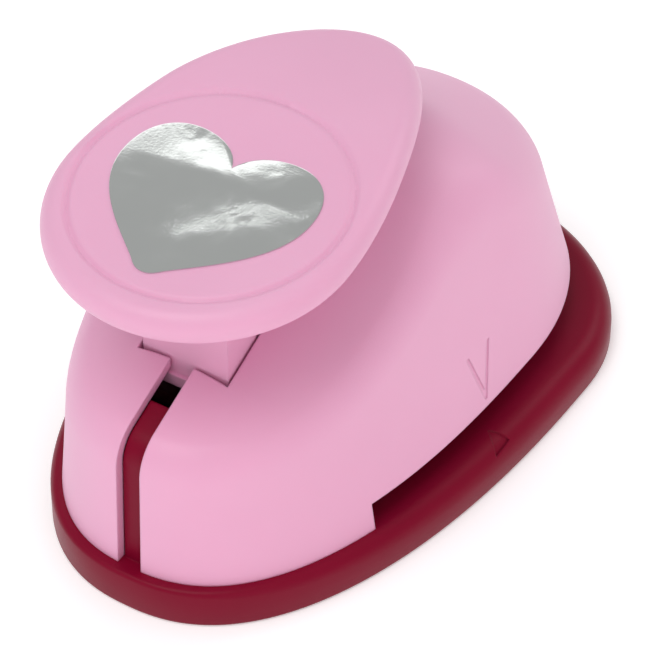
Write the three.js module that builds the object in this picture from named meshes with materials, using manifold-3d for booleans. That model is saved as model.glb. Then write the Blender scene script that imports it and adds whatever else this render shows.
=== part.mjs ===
// Lever-operated craft punch, 125 mm long.
// Frame: millimetres, +Z up, origin under the middle of the base.
// The press pad is at the front (-Y), the paper goes in from the sides and the rear (+Y).

import * as THREE from 'three';
import { mergeVertices } from 'three/addons/utils/BufferGeometryUtils.js';
import Module from 'manifold-3d';

const wasm = await Module();
wasm.setup();

// ---------------------------------------------------------------- driving dimensions

const DEG = Math.PI / 180;
const FIT_GAP = 0.3;             // clearance between separate pieces
const CUT_PAST = 1;              // how far a cutting solid reaches past the face it opens

// An egg outline is two half superellipses that meet at its widest place.
const BASE_EGG = { front: -62.3, rear: 62.3, half: 40.6, widest: 27.6, frontPower: 2.34, rearPower: 2.07 };
const SHELL_EGG = { front: -60.3, rear: 59.7, half: 35.7, widest: 16.5, frontPower: 2.39, rearPower: 2.11 };

const DECK_Z = 8;                // top of the base, where the shell stands
const DECK_THICK = 2.2;
const BASE_WALL = 2.8;
const FRONT_EDGE_ROUND = 0.8;    // the base's upper edge is crisp at the front
const SIDE_EDGE_ROUND = 4.4;     // and well rounded along the sides and rear
const FOOT_ROUND = 0.8;
const POCKET_FILLET = 3;
const INNER_FOOT_Z = 1;          // blocks and bosses inside the base stop this far above its foot

const SHELL_WALL = 2;
const SHELL_LEAN = { front: 2.5 * DEG, side: 11.4 * DEG, rear: 19.3 * DEG };
const SHOULDER_ROUND = { front: 8, side: 14.3, rear: 16.3 };
const ROOF = { frontY: -56.5, frontZ: 35.6, rise: 0.427, rearY: 32.5, rearZ: 51.1, fall: 0.557, blend: 14 };
const ROOF_CROWN = 0.012;        // drop in mm for each square millimetre off the middle
const ROOF_SPINE = { y: 7.5, share: 0.3 };   // the roof's rings close on this line
const THROAT_FRONT_Y = -30.2;    // the paper throat runs from here round the rear
const THROAT_TOP_Z = 13.7;

const SLOT_HALF = 2.35;          // slot down the front of the shell
const RIB_HALF = 2.1;            // the base's rib that fills it
const RIB_TOP_Y = -49;
const RIB_RECESS = 1.7;
const RIB_THICK = 3.6;

const PAD = { y: -34.5, z: 71.5, tilt: 6.1 * DEG, radius: 27.3 };
const LEVER_TAIL = 55;           // from the pad's middle to the lever's rear tip
const LEVER_SKIN = 2.6;          // thickness of the cap's top
const LEVER_RIM = 3.6;           // width of the rim round the cap's hollow underside
const LEVER_ROUND = 3.3;         // the rim's outside is a bullnose of this radius
const TAIL_DROP = 8;             // the lever's tail bends down by this much
const TAIL_DROP_START = 22;
const TAIL_DROP_POWER = 1.7;
const TAIL_SHAPE = { fullUntil: 19, narrow: 15 };   // how the pad's sides run into the tail
const LEVER_SPINE = { v: 8, share: 0.5 };           // the cap's rings close on this line
const LEVER_MID_INSET = 12;
const GROOVE_RADIUS = 23.7;
const GROOVE_AT = 1.6;           // the ring groove's middle, along the pad towards the tail
const GROOVE_SECTION = 1.1;      // radius of the groove's round section
const GROOVE_DEPTH = 0.45;
const FOIL_THICK = 0.2;
const FOIL_AT = -3.2;            // the foil's middle, along the pad towards the tail
const GLUE_LINE = 0.02;

const STEM = { half: 8.6, front: -41.6, bow: 0.5, rear: -33, bottom: 36, catchOut: 1.4, catchTall: 2.4 };
const STEM_GAP = 0.45;           // clearance round the stem where it enters the shell
const PIVOT = { y: 14, z: 48 };
const AXLE_RADIUS = 2;
const AXLE_GAP = 0.08;
const AXLE_HEAD = { wider: 1, thick: 1.2, gap: 0.2 };
const CLIP = { thick: 0.8, wider: 1.6, gap: 0.4, neck: 1.4, neckGap: 0.15, mouthHalf: 1 };
const AXLE_END = 2.2;            // length of axle past the clip's inner face
const LUG = { inner: 3.6, outer: 7.2, round: 4.5, front: 9, rear: 16, frontTop: 70.8, rearTop: 69 };
const LUG_NECK = { front: 9, rear: 12 };   // heights over the pivot where the lugs step in
const WINDOW = { front: -6, sideGap: 0.8, rearGap: 2 };   // the shell's opening for the lugs
const PUSHER = { half: 6, round: 3, gap: 0.4, rootY: -8 };

const BLOCK_WALL = 2.6;          // wall round the die plate, under the deck
const PLATE = { half: 26.5, front: -24, rear: 28 };   // die plate and guide block
const DIE_Z = [5.2, 9.2];
const GUIDE_Z = [11.2, 19];
const SPACER_REAR_Y = -18.5;
const CHUTE = { half: 21, front: -19.5, rear: 19.5 };
const HEART = { half: 18.3, top: 16.8, tip: -15.2 };
const PUNCH_GAP = 0.15;
const PUNCH_BOTTOM_Z = 11.5;
const CARRIER_Z = [34, 38];
const CARRIER = { half: 25, front: -14, rear: 8 };
const POST = { x: 20.5, y: -7, radius: 1.9, bottom: 14, top: 44, pressGap: 0.05, slideGap: 0.1 };
const SPRING = { coil: 3.1, wire: 0.5, turns: 6, endGap: 0.05 };

const FRAME_FOOT_Z = 22;
const FRAME_ARM = { inner: 8.2, outer: 11.6, front: 18.5, rear: 27.5, top: 52, rearTop: 40, slant: 1.5 };
const FRAME_SCREW = { x: 4.5, y: 23 };
const DIE_SCREW = { x: 22.5, frontY: -21, rearY: 24.5 };
const SHELL_SCREWS = [[17.6, -48], [24.2, -37.5]];
const BOSS_RADIUS = 3.6;
const BOSS_TOP_Z = 22;
const BOSS_WALL = 0.8;           // a base boss is this much stouter than the shell boss on it
const BOSS_LAND = 0.4;           // the shell's bosses stop this far inside its outer skin
const SCREW = { shank: 1.5, head: 2.8, headTall: 1.8, seatZ: 3.4, seatGap: 0.05 };
const CROSS_RECESS = { reach: 1.6, half: 0.35, deep: 0.9 };
const BLIND_END = 1;             // depth left under a screw's tip in a blind hole

// ---------------------------------------------------------------- finishes

const finish = (color, roughness, metalness) => ({ color, roughness, metalness });
const PINK_ABS = finish(0xe8b2d0, 0.45, 0);
const BURGUNDY_ABS = finish(0x7a1432, 0.4, 0);
const MIRROR_FOIL = finish(0xc4c8c6, 0.12, 1);
const TOOL_STEEL = finish(0xa8abad, 0.3, 1);
const ZINC_CASTING = finish(0x8f9396, 0.45, 1);
const SPRING_STEEL = finish(0xb9bcbe, 0.25, 1);

// ---------------------------------------------------------------- solids

const part = new THREE.Group();

function toSolid(geometry) {
  geometry.deleteAttribute('normal');
  geometry.deleteAttribute('uv');
  const merged = mergeVertices(geometry, 1e-4);
  const vertProperties = new Float32Array(merged.attributes.position.array);
  const triVerts = new Uint32Array(merged.index.array);
  return new wasm.Manifold(new wasm.Mesh({ numProp: 3, vertProperties, triVerts }));
}

function addPiece(name, solid, look) {
  const { vertProperties, triVerts } = solid.getMesh();
  const geometry = new THREE.BufferGeometry();
  geometry.setAttribute('position', new THREE.BufferAttribute(vertProperties, 3));
  geometry.setIndex(new THREE.BufferAttribute(triVerts, 1));
  geometry.computeVertexNormals();
  const mesh = new THREE.Mesh(geometry, new THREE.MeshStandardMaterial(look));
  mesh.name = name;
  part.add(mesh);
}

function box([x0, x1], [y0, y1], [z0, z1]) {
  const geometry = new THREE.BoxGeometry(x1 - x0, y1 - y0, z1 - z0);
  geometry.translate((x0 + x1) / 2, (y0 + y1) / 2, (z0 + z1) / 2);
  return toSolid(geometry);
}

// A round bar along Z.
function rod(x, y, z0, z1, radius, sides = 16) {
  const geometry = new THREE.CylinderGeometry(radius, radius, z1 - z0, sides);
  geometry.rotateX(Math.PI / 2);
  geometry.translate(x, y, (z0 + z1) / 2);
  return toSolid(geometry);
}

// A round bar along X.
function crossRod(x0, x1, y, z, radius, sides = 20) {
  const geometry = new THREE.CylinderGeometry(radius, radius, x1 - x0, sides);
  geometry.rotateZ(Math.PI / 2);
  geometry.translate((x0 + x1) / 2, y, z);
  return toSolid(geometry);
}

// An outline drawn in Y and Z, given its thickness along X.
function sidePlate(x0, x1, outline) {
  const shape = new THREE.Shape(outline.map(([y, z]) => new THREE.Vector2(y, z)));
  const geometry = new THREE.ExtrudeGeometry(shape, { depth: x1 - x0, bevelEnabled: false });
  geometry.applyMatrix4(new THREE.Matrix4().set(0, 0, 1, x0, 1, 0, 0, 0, 0, 1, 0, 0, 0, 0, 0, 1));
  return toSolid(geometry);
}

// Joins rings of equal length into one closed skin. The first ring is closed by a fan
// from its middle, and the last ring either folds onto a line or is closed in the same way.
function loft(rings, foldedTop = false) {
  const sides = rings[0].length;
  const points = rings.flat();
  const triangles = [];
  for (let ring = 0; ring + 1 < rings.length; ring += 1) {
    for (let side = 0; side < sides; side += 1) {
      const next = (side + 1) % sides;
      const a = ring * sides + side;
      const b = ring * sides + next;
      triangles.push(a, b, b + sides, a, b + sides, a + sides);
    }
  }
  const closeWithFan = (start, facesDown) => {
    const middle = new THREE.Vector3();
    for (let side = 0; side < sides; side += 1) middle.add(points[start + side]);
    const centre = points.push(middle.divideScalar(sides)) - 1;
    for (let side = 0; side < sides; side += 1) {
      const a = start + side;
      const b = start + (side + 1) % sides;
      triangles.push(...(facesDown ? [centre, b, a] : [centre, a, b]));
    }
  };
  closeWithFan(0, true);
  if (!foldedTop) closeWithFan((rings.length - 1) * sides, false);
  const geometry = new THREE.BufferGeometry().setFromPoints(points);
  geometry.setIndex(triangles);
  const merged = mergeVertices(geometry, 1e-4);
  const kept = [];
  const index = merged.index.array;
  for (let i = 0; i < index.length; i += 3) {
    const [a, b, c] = [index[i], index[i + 1], index[i + 2]];
    if (a !== b && b !== c && c !== a) kept.push(a, b, c);
  }
  merged.setIndex(kept);
  return toSolid(merged);
}

// ---------------------------------------------------------------- egg outlines

// Point of an egg at an angle: 0 is the front, a quarter turn is the +X side.
function eggPoint(egg, angle, inset = 0) {
  const c = Math.cos(angle);
  const s = Math.sin(angle);
  const power = 2 / (c > 0 ? egg.frontPower : egg.rearPower);
  const reach = c > 0 ? egg.widest - egg.front - inset : egg.rear - inset - egg.widest;
  const x = (egg.half - inset) * Math.sign(s) * Math.abs(s) ** power;
  const y = egg.widest - reach * Math.sign(c) * Math.abs(c) ** power;
  return [x, y];
}

function eggRing(egg, sides, inset, z) {
  return Array.from({ length: sides }, (_, i) => {
    const angle = (2 * Math.PI * i) / sides;
    const [x, y] = eggPoint(egg, angle, typeof inset === 'function' ? inset(angle) : inset);
    return new THREE.Vector3(x, y, typeof z === 'function' ? z(angle) : z);
  });
}

// Blends a front, side and rear value round the egg.
function around(value, angle) {
  const c = Math.cos(angle);
  const end = c > 0 ? value.front : value.rear;
  return value.side + (end - value.side) * c * c;
}

// ---------------------------------------------------------------- shell surface

// Height of the roof: a rising line and a falling line blended into a crest, then crowned.
function roofZ(x, y) {
  const rising = ROOF.frontZ + ROOF.rise * (y - ROOF.frontY);
  const falling = ROOF.rearZ - ROOF.fall * (y - ROOF.rearY);
  const share = THREE.MathUtils.clamp(0.5 + (falling - rising) / (2 * ROOF.blend), 0, 1);
  const crest = falling * (1 - share) + rising * share - ROOF.blend * share * (1 - share);
  return crest - ROOF_CROWN * x * x;
}

// One rib of the shell's surface at an angle: up the leaning wall, round the shoulder,
// then along the roof to the spine. Everything lies `inset` inside the outer surface.
function shellRib(angle, inset, wallSteps, roundSteps, roofSteps) {
  const [x0, y0] = eggPoint(SHELL_EGG, angle, inset);
  const spineY = ROOF_SPINE.y + ROOF_SPINE.share * (y0 - ROOF_SPINE.y);
  const reach = Math.hypot(x0, spineY - y0);
  const at = (d) => [x0 - (x0 * d) / reach, y0 + ((spineY - y0) * d) / reach];
  const roofAt = (d) => roofZ(...at(d)) - inset;
  const lean = around(SHELL_LEAN, angle);
  const round = around(SHOULDER_ROUND, angle) - inset;
  const probe = round * 1.1;
  const slope = roofAt(probe + 0.5) - roofAt(probe - 0.5);
  const roofStart = roofAt(probe) - slope * probe;
  const depth = round * Math.hypot(1, slope);
  const middleD = ((roofStart - depth - DECK_Z) * Math.tan(lean) + round / Math.cos(lean))
    / (1 - slope * Math.tan(lean));
  const middleZ = roofStart + slope * middleD - depth;
  const onRound = (turn) => [middleD - round * Math.cos(turn), middleZ + round * Math.sin(turn)];
  const [wallD, wallZ] = onRound(lean);
  const profile = [];
  for (let i = 0; i < wallSteps; i += 1) {
    const share = i / wallSteps;
    profile.push([wallD * share, DECK_Z + (wallZ - DECK_Z) * share]);
  }
  const lastTurn = Math.PI / 2 - Math.atan(slope);
  for (let i = 0; i <= roundSteps; i += 1) {
    profile.push(onRound(lean + ((lastTurn - lean) * i) / roundSteps));
  }
  const [roofD] = profile[profile.length - 1];
  for (let i = 1; i <= roofSteps; i += 1) {
    const d = roofD + ((reach - roofD) * i) / roofSteps;
    profile.push([d, roofAt(d)]);
  }
  return profile.map(([d, z]) => new THREE.Vector3(...at(d), z));
}

function shellSolid(inset, sides, wallSteps, roundSteps, roofSteps, bottomZ) {
  const ribs = Array.from({ length: sides }, (_, i) =>
    shellRib((2 * Math.PI * i) / sides, inset, wallSteps, roundSteps, roofSteps));
  const rings = ribs[0].map((_, row) => ribs.map((rib) => rib[row]));
  rings[0] = rings[0].map((point) => new THREE.Vector3(point.x, point.y, bottomZ));
  return loft(rings, true);
}

// ---------------------------------------------------------------- heart

// The heart's outline in X and Y, its middle at the origin and its point towards -Y.
function heartShape(grow = 0) {
  const half = HEART.half + grow;
  const top = HEART.top + grow;
  const tip = HEART.tip - grow;
  const shape = new THREE.Shape();
  shape.moveTo(0, tip);
  shape.bezierCurveTo(half * 0.08, tip, half * 0.12, tip * 0.95, half * 0.18, tip * 0.88);
  shape.bezierCurveTo(half * 0.5, tip * 0.56, half, tip * 0.16, half, top * 0.4);
  shape.bezierCurveTo(half, top * 0.8, half * 0.78, top, half * 0.52, top);
  shape.bezierCurveTo(half * 0.26, top, half * 0.06, top * 0.86, 0, top * 0.66);
  shape.bezierCurveTo(-half * 0.06, top * 0.86, -half * 0.26, top, -half * 0.52, top);
  shape.bezierCurveTo(-half * 0.78, top, -half, top * 0.8, -half, top * 0.4);
  shape.bezierCurveTo(-half, tip * 0.16, -half * 0.5, tip * 0.56, -half * 0.18, tip * 0.88);
  shape.bezierCurveTo(-half * 0.12, tip * 0.95, -half * 0.08, tip, 0, tip);
  return shape;
}

function heartBar(z0, z1, grow = 0) {
  const options = { depth: z1 - z0, bevelEnabled: false, curveSegments: 5 };
  const geometry = new THREE.ExtrudeGeometry(heartShape(grow), options);
  geometry.translate(0, 0, z0);
  return toSolid(geometry);
}

// ---------------------------------------------------------------- base

function makeBase() {
  const sides = 56;
  const edge = (angle) => around(
    { front: FRONT_EDGE_ROUND, side: SIDE_EDGE_ROUND, rear: SIDE_EDGE_ROUND }, angle);
  const rings = [
    eggRing(BASE_EGG, sides, FOOT_ROUND, 0),
    eggRing(BASE_EGG, sides, 0, FOOT_ROUND),
  ];
  const roundSteps = 3;
  for (let i = 0; i <= roundSteps; i += 1) {
    const turn = (Math.PI / 2 * i) / roundSteps;
    rings.push(eggRing(BASE_EGG, sides,
      (angle) => edge(angle) * (1 - Math.cos(turn)),
      (angle) => DECK_Z - edge(angle) * (1 - Math.sin(turn))));
  }
  let base = loft(rings);
  const pocketTop = DECK_Z - DECK_THICK;
  const pocket = loft([
    eggRing(BASE_EGG, 36, BASE_WALL, -CUT_PAST),
    eggRing(BASE_EGG, 36, BASE_WALL, POCKET_FILLET),
    eggRing(BASE_EGG, 36, BASE_WALL + POCKET_FILLET, pocketTop),
  ]);
  base = base.subtract(pocket);

  // Block that carries the die plate, with the chute that the cut shapes fall through.
  const plateX = PLATE.half + FIT_GAP;
  const plateY = [PLATE.front - FIT_GAP, PLATE.rear + FIT_GAP];
  base = base.add(box([-plateX - BLOCK_WALL, plateX + BLOCK_WALL],
    [plateY[0] - BLOCK_WALL, plateY[1] + BLOCK_WALL], [INNER_FOOT_Z, DECK_Z]));
  base = base.subtract(box([-plateX, plateX], plateY, [DIE_Z[0], DECK_Z + CUT_PAST]));
  base = base.subtract(box([-CHUTE.half, CHUTE.half], [CHUTE.front, CHUTE.rear], [-CUT_PAST, DECK_Z]));

  // Bosses for the four screws that hold the shell.
  for (const side of [-1, 1]) {
    for (const [x, y] of SHELL_SCREWS) {
      base = base.add(rod(side * x, y, INNER_FOOT_Z, DECK_Z - DECK_THICK / 2, BOSS_RADIUS + BOSS_WALL));
      base = base.subtract(rod(side * x, y, 0, SCREW.seatZ, SCREW.head + FIT_GAP));
      base = base.subtract(rod(side * x, y, 0, DECK_Z + CUT_PAST, SCREW.shank + FIT_GAP));
    }
    for (const y of [DIE_SCREW.frontY, DIE_SCREW.rearY]) {
      base = base.subtract(rod(side * DIE_SCREW.x, y, 0, SCREW.seatZ, SCREW.head + FIT_GAP));
      base = base.subtract(rod(side * DIE_SCREW.x, y, 0, DIE_Z[0] + CUT_PAST, SCREW.shank + FIT_GAP));
    }
  }

  // Rib that follows the shell's front from inside and fills its slot.
  const outer = shellSolid(RIB_RECESS, 48, 1, 5, 2, DECK_Z - CUT_PAST);
  const inner = shellSolid(RIB_RECESS + RIB_THICK, 48, 1, 5, 2, DECK_Z - 2 * CUT_PAST);
  const band = box([-RIB_HALF, RIB_HALF], [SHELL_EGG.front, RIB_TOP_Y], [DECK_Z - CUT_PAST, ROOF.rearZ]);
  base = base.add(outer.subtract(inner).intersect(band));
  addPiece('base', base, BURGUNDY_ABS);
}

// ---------------------------------------------------------------- shell

function makeShell() {
  let shell = shellSolid(0, 52, 1, 5, 3, DECK_Z);
  shell = shell.subtract(shellSolid(SHELL_WALL, 52, 1, 4, 3, DECK_Z - CUT_PAST));
  for (const side of [-1, 1]) {
    for (const [x, y] of SHELL_SCREWS) {
      const boss = rod(side * x, y, DECK_Z, BOSS_TOP_Z, BOSS_RADIUS);
      shell = shell.add(boss.intersect(shellSolid(BOSS_LAND, 52, 1, 5, 3, DECK_Z)));
      shell = shell.subtract(rod(side * x, y, DECK_Z - CUT_PAST, BOSS_TOP_Z - 3 * BLIND_END,
        SCREW.shank + FIT_GAP));
    }
  }
  const wide = SHELL_EGG.half + CUT_PAST;
  const throat = box([-wide, wide], [THROAT_FRONT_Y, SHELL_EGG.rear + CUT_PAST],
    [DECK_Z - CUT_PAST, THROAT_TOP_Z]);
  const slot = box([-SLOT_HALF, SLOT_HALF], [SHELL_EGG.front - CUT_PAST, STEM.front],
    [DECK_Z - CUT_PAST, PAD.z]);
  const stemHole = box([-STEM.half - STEM_GAP, STEM.half + STEM_GAP],
    [STEM.front - STEM.bow - STEM_GAP, STEM.rear + 2 * STEM_GAP], [STEM.bottom, PAD.z]);
  const windowHalf = LUG.outer + WINDOW.sideGap;
  const leverWindow = box([-windowHalf, windowHalf], [WINDOW.front, LUG.rear + WINDOW.rearGap],
    [PIVOT.z, PAD.z]);
  for (const cut of [throat, slot, stemHole, leverWindow]) shell = shell.subtract(cut);
  addPiece('shell', shell, PINK_ABS);
}

// ---------------------------------------------------------------- lever

// Side of the lever seen from above: a round pad that narrows to a rounded tail.
const TAIL_CURVE = new THREE.CubicBezierCurve(
  new THREE.Vector2(PAD.radius, 0),
  new THREE.Vector2(PAD.radius, TAIL_SHAPE.fullUntil),
  new THREE.Vector2(TAIL_SHAPE.narrow, LEVER_TAIL),
  new THREE.Vector2(0, LEVER_TAIL),
);

// Outline points, running from the front of the pad round the +X side to the tail and back.
function leverOutline(padSteps, tailSteps) {
  const side = [];
  for (let i = 0; i < padSteps; i += 1) {
    const angle = (Math.PI / 2 * i) / padSteps;
    side.push([PAD.radius * Math.sin(angle), -PAD.radius * Math.cos(angle)]);
  }
  for (let i = 0; i <= tailSteps; i += 1) {
    const point = TAIL_CURVE.getPoint(i / tailSteps);
    side.push([point.x, point.y]);
  }
  const mirrored = side.slice(1, -1).reverse().map(([x, v]) => [-x, v]);
  return side.concat(mirrored);
}

// A point given across, along and above the pad, bent down towards the tail.
function leverPoint(x, v, w) {
  const past = Math.max(0, v - TAIL_DROP_START) / (LEVER_TAIL - TAIL_DROP_START);
  const height = w - TAIL_DROP * past ** TAIL_DROP_POWER;
  const y = PAD.y + v * Math.cos(PAD.tilt) - height * Math.sin(PAD.tilt);
  const z = PAD.z + v * Math.sin(PAD.tilt) + height * Math.cos(PAD.tilt);
  return new THREE.Vector3(x, y, z);
}

// Rings of the lever's cap from rows of [inset, height], closed on a line along its middle.
function leverSolid(rows) {
  const outline = leverOutline(8, 11);
  const inward = outline.map(([x, v]) => {
    const spine = LEVER_SPINE.v + LEVER_SPINE.share * (v - LEVER_SPINE.v);
    const reach = Math.hypot(x, spine - v);
    return [-x / reach, (spine - v) / reach, reach];
  });
  const ringAt = (inset, w) => outline.map(([x, v], i) => {
    const [dx, dv, reach] = inward[i];
    const d = Math.min(inset, reach);
    return leverPoint(x + dx * d, v + dv * d, w);
  });
  const lastHeight = rows[rows.length - 1][1];
  const rings = rows.map(([inset, w]) => ringAt(inset, w));
  rings.push(ringAt(LEVER_MID_INSET, lastHeight));
  rings.push(ringAt(Infinity, lastHeight));
  return loft(rings, true);
}

function makeLever() {
  const outerRows = [];
  const roundSteps = 7;
  const lowestTurn = -75 * DEG;
  for (let i = 0; i <= roundSteps; i += 1) {
    const turn = lowestTurn + ((Math.PI / 2 - lowestTurn) * i) / roundSteps;
    outerRows.push([LEVER_ROUND * (1 - Math.cos(turn)), -LEVER_ROUND * (1 - Math.sin(turn))]);
  }
  let lever = leverSolid(outerRows);
  lever = lever.subtract(leverSolid([
    [LEVER_RIM, -3 * LEVER_ROUND],
    [LEVER_RIM, -LEVER_SKIN - 1],
    [LEVER_RIM + 1, -LEVER_SKIN],
  ]));

  // Shallow ring groove round the label disc.
  const groove = new THREE.TorusGeometry(GROOVE_RADIUS, GROOVE_SECTION, 8, 40);
  groove.translate(0, GROOVE_AT, GROOVE_SECTION - GROOVE_DEPTH);
  groove.rotateX(PAD.tilt);
  groove.translate(0, PAD.y, PAD.z);
  lever = lever.subtract(toSolid(groove));

  // Stem with its catch, pusher and hinge lugs, all moulded in one with the cap.
  const under = (y) => PAD.z + (y - PAD.y) * Math.tan(PAD.tilt) - LEVER_SKIN + CUT_PAST;
  const stemOutline = [
    new THREE.Vector2(STEM.half, STEM.rear),
    new THREE.Vector2(-STEM.half, STEM.rear),
  ];
  const bowSteps = 4;
  for (let i = -bowSteps; i <= bowSteps; i += 1) {
    const across = i / bowSteps;
    stemOutline.push(new THREE.Vector2(STEM.half * across, STEM.front - STEM.bow * (1 - across * across)));
  }
  const stemBar = new THREE.ExtrudeGeometry(new THREE.Shape(stemOutline),
    { depth: under(STEM.front) - STEM.bottom, bevelEnabled: false });
  stemBar.translate(0, 0, STEM.bottom);
  let stem = toSolid(stemBar);
  stem = stem.add(box([-STEM.half, STEM.half], [STEM.front - STEM.catchOut, STEM.front + STEM.bow],
    [STEM.bottom, STEM.bottom + STEM.catchTall]));
  const pusherZ = CARRIER_Z[1] + PUSHER.gap + PUSHER.round;
  const pusherTop = under(PUSHER.rootY) - CUT_PAST;
  const pusher = box([-PUSHER.half, PUSHER.half], [-PUSHER.round, PUSHER.round], [pusherZ, pusherTop])
    .add(crossRod(-PUSHER.half, PUSHER.half, 0, pusherZ, PUSHER.round));
  lever = lever.add(stem).add(pusher);
  for (const side of [-1, 1]) {
    const [x0, x1] = side > 0 ? [LUG.inner, LUG.outer] : [-LUG.outer, -LUG.inner];
    const web = sidePlate(x0, x1, [
      [PIVOT.y - LUG.round, PIVOT.z],
      [PIVOT.y + LUG.round, PIVOT.z],
      [LUG.rear, PIVOT.z + LUG_NECK.rear],
      [LUG.rear, LUG.rearTop],
      [LUG.front, LUG.frontTop],
      [LUG.front, PIVOT.z + LUG_NECK.front],
    ]);
    const eye = crossRod(x0, x1, PIVOT.y, PIVOT.z, LUG.round);
    const bore = crossRod(x0 - CUT_PAST, x1 + CUT_PAST, PIVOT.y, PIVOT.z, AXLE_RADIUS + AXLE_GAP);
    lever = lever.add(web.add(eye)).subtract(bore);
  }
  addPiece('lever', lever, PINK_ABS);
}

function makeFoil() {
  const options = { depth: FOIL_THICK, bevelEnabled: false, curveSegments: 7 };
  const foil = new THREE.ExtrudeGeometry(heartShape(), options);
  foil.translate(0, FOIL_AT, GLUE_LINE);
  foil.rotateX(PAD.tilt);
  foil.translate(0, PAD.y, PAD.z);
  addPiece('foil_heart', toSolid(foil), MIRROR_FOIL);
}

// ---------------------------------------------------------------- die set

function dieScrewHoles(rows, z0, z1) {
  const holes = [];
  for (const side of [-1, 1]) {
    for (const y of rows) holes.push(rod(side * DIE_SCREW.x, y, z0, z1, SCREW.shank + FIT_GAP));
  }
  return holes;
}

function makeDieSet() {
  const xs = [-PLATE.half, PLATE.half];
  const front = DIE_SCREW.frontY;
  const rear = DIE_SCREW.rearY;

  let die = box(xs, [PLATE.front, PLATE.rear], DIE_Z);
  die = die.subtract(heartBar(DIE_Z[0] - CUT_PAST, DIE_Z[1] + CUT_PAST, PUNCH_GAP));
  for (const hole of dieScrewHoles([front], 0, DIE_Z[1] + CUT_PAST)) die = die.subtract(hole);
  for (const hole of dieScrewHoles([rear], 0, DIE_Z[1] - BLIND_END)) die = die.subtract(hole);
  addPiece('die_plate', die, TOOL_STEEL);

  let spacer = box(xs, [PLATE.front, SPACER_REAR_Y], [DIE_Z[1], GUIDE_Z[0]]);
  for (const hole of dieScrewHoles([front], 0, GUIDE_Z[0] + CUT_PAST)) spacer = spacer.subtract(hole);
  addPiece('throat_spacer', spacer, TOOL_STEEL);

  let guide = box(xs, [PLATE.front, PLATE.rear], GUIDE_Z);
  guide = guide.subtract(heartBar(GUIDE_Z[0] - CUT_PAST, GUIDE_Z[1] + CUT_PAST, PUNCH_GAP));
  for (const hole of dieScrewHoles([front], 0, GUIDE_Z[1] - BLIND_END)) guide = guide.subtract(hole);
  for (const side of [-1, 1]) {
    guide = guide.subtract(rod(side * POST.x, POST.y, POST.bottom - FIT_GAP, GUIDE_Z[1] + CUT_PAST,
      POST.radius + POST.pressGap));
    guide = guide.subtract(rod(side * FRAME_SCREW.x, FRAME_SCREW.y, GUIDE_Z[0] + BLIND_END,
      GUIDE_Z[1] + CUT_PAST, SCREW.shank + FIT_GAP));
  }
  addPiece('guide_block', guide, ZINC_CASTING);
}

function makePunch() {
  addPiece('punch', heartBar(PUNCH_BOTTOM_Z, CARRIER_Z[0]), TOOL_STEEL);
  let carrier = box([-CARRIER.half, CARRIER.half], [CARRIER.front, CARRIER.rear], CARRIER_Z);
  for (const side of [-1, 1]) {
    const bore = rod(side * POST.x, POST.y, CARRIER_Z[0] - CUT_PAST, CARRIER_Z[1] + CUT_PAST,
      POST.radius + POST.slideGap);
    carrier = carrier.subtract(bore);
  }
  addPiece('punch_carrier', carrier, ZINC_CASTING);
}

function makePostsAndSprings() {
  class Coil extends THREE.Curve {
    constructor(x) {
      super();
      this.x = x;
    }

    getPoint(t) {
      const turn = 2 * Math.PI * SPRING.turns * t;
      const low = GUIDE_Z[1] + SPRING.wire + SPRING.endGap;
      const high = CARRIER_Z[0] - SPRING.wire - SPRING.endGap;
      return new THREE.Vector3(
        this.x + SPRING.coil * Math.cos(turn),
        POST.y + SPRING.coil * Math.sin(turn),
        low + (high - low) * t,
      );
    }
  }
  const section = new THREE.Shape();
  section.absarc(0, 0, SPRING.wire, 0, 2 * Math.PI, false);
  const options = { steps: SPRING.turns * 9, bevelEnabled: false, curveSegments: 3 };
  for (const [name, side] of [['left', -1], ['right', 1]]) {
    addPiece(`guide_post_${name}`,
      rod(side * POST.x, POST.y, POST.bottom, POST.top, POST.radius), TOOL_STEEL);
    const extrudePath = new Coil(side * POST.x);
    const spring = new THREE.ExtrudeGeometry(section, { ...options, extrudePath });
    addPiece(`return_spring_${name}`, toSolid(spring), SPRING_STEEL);
  }
}

// ---------------------------------------------------------------- pivot

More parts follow.
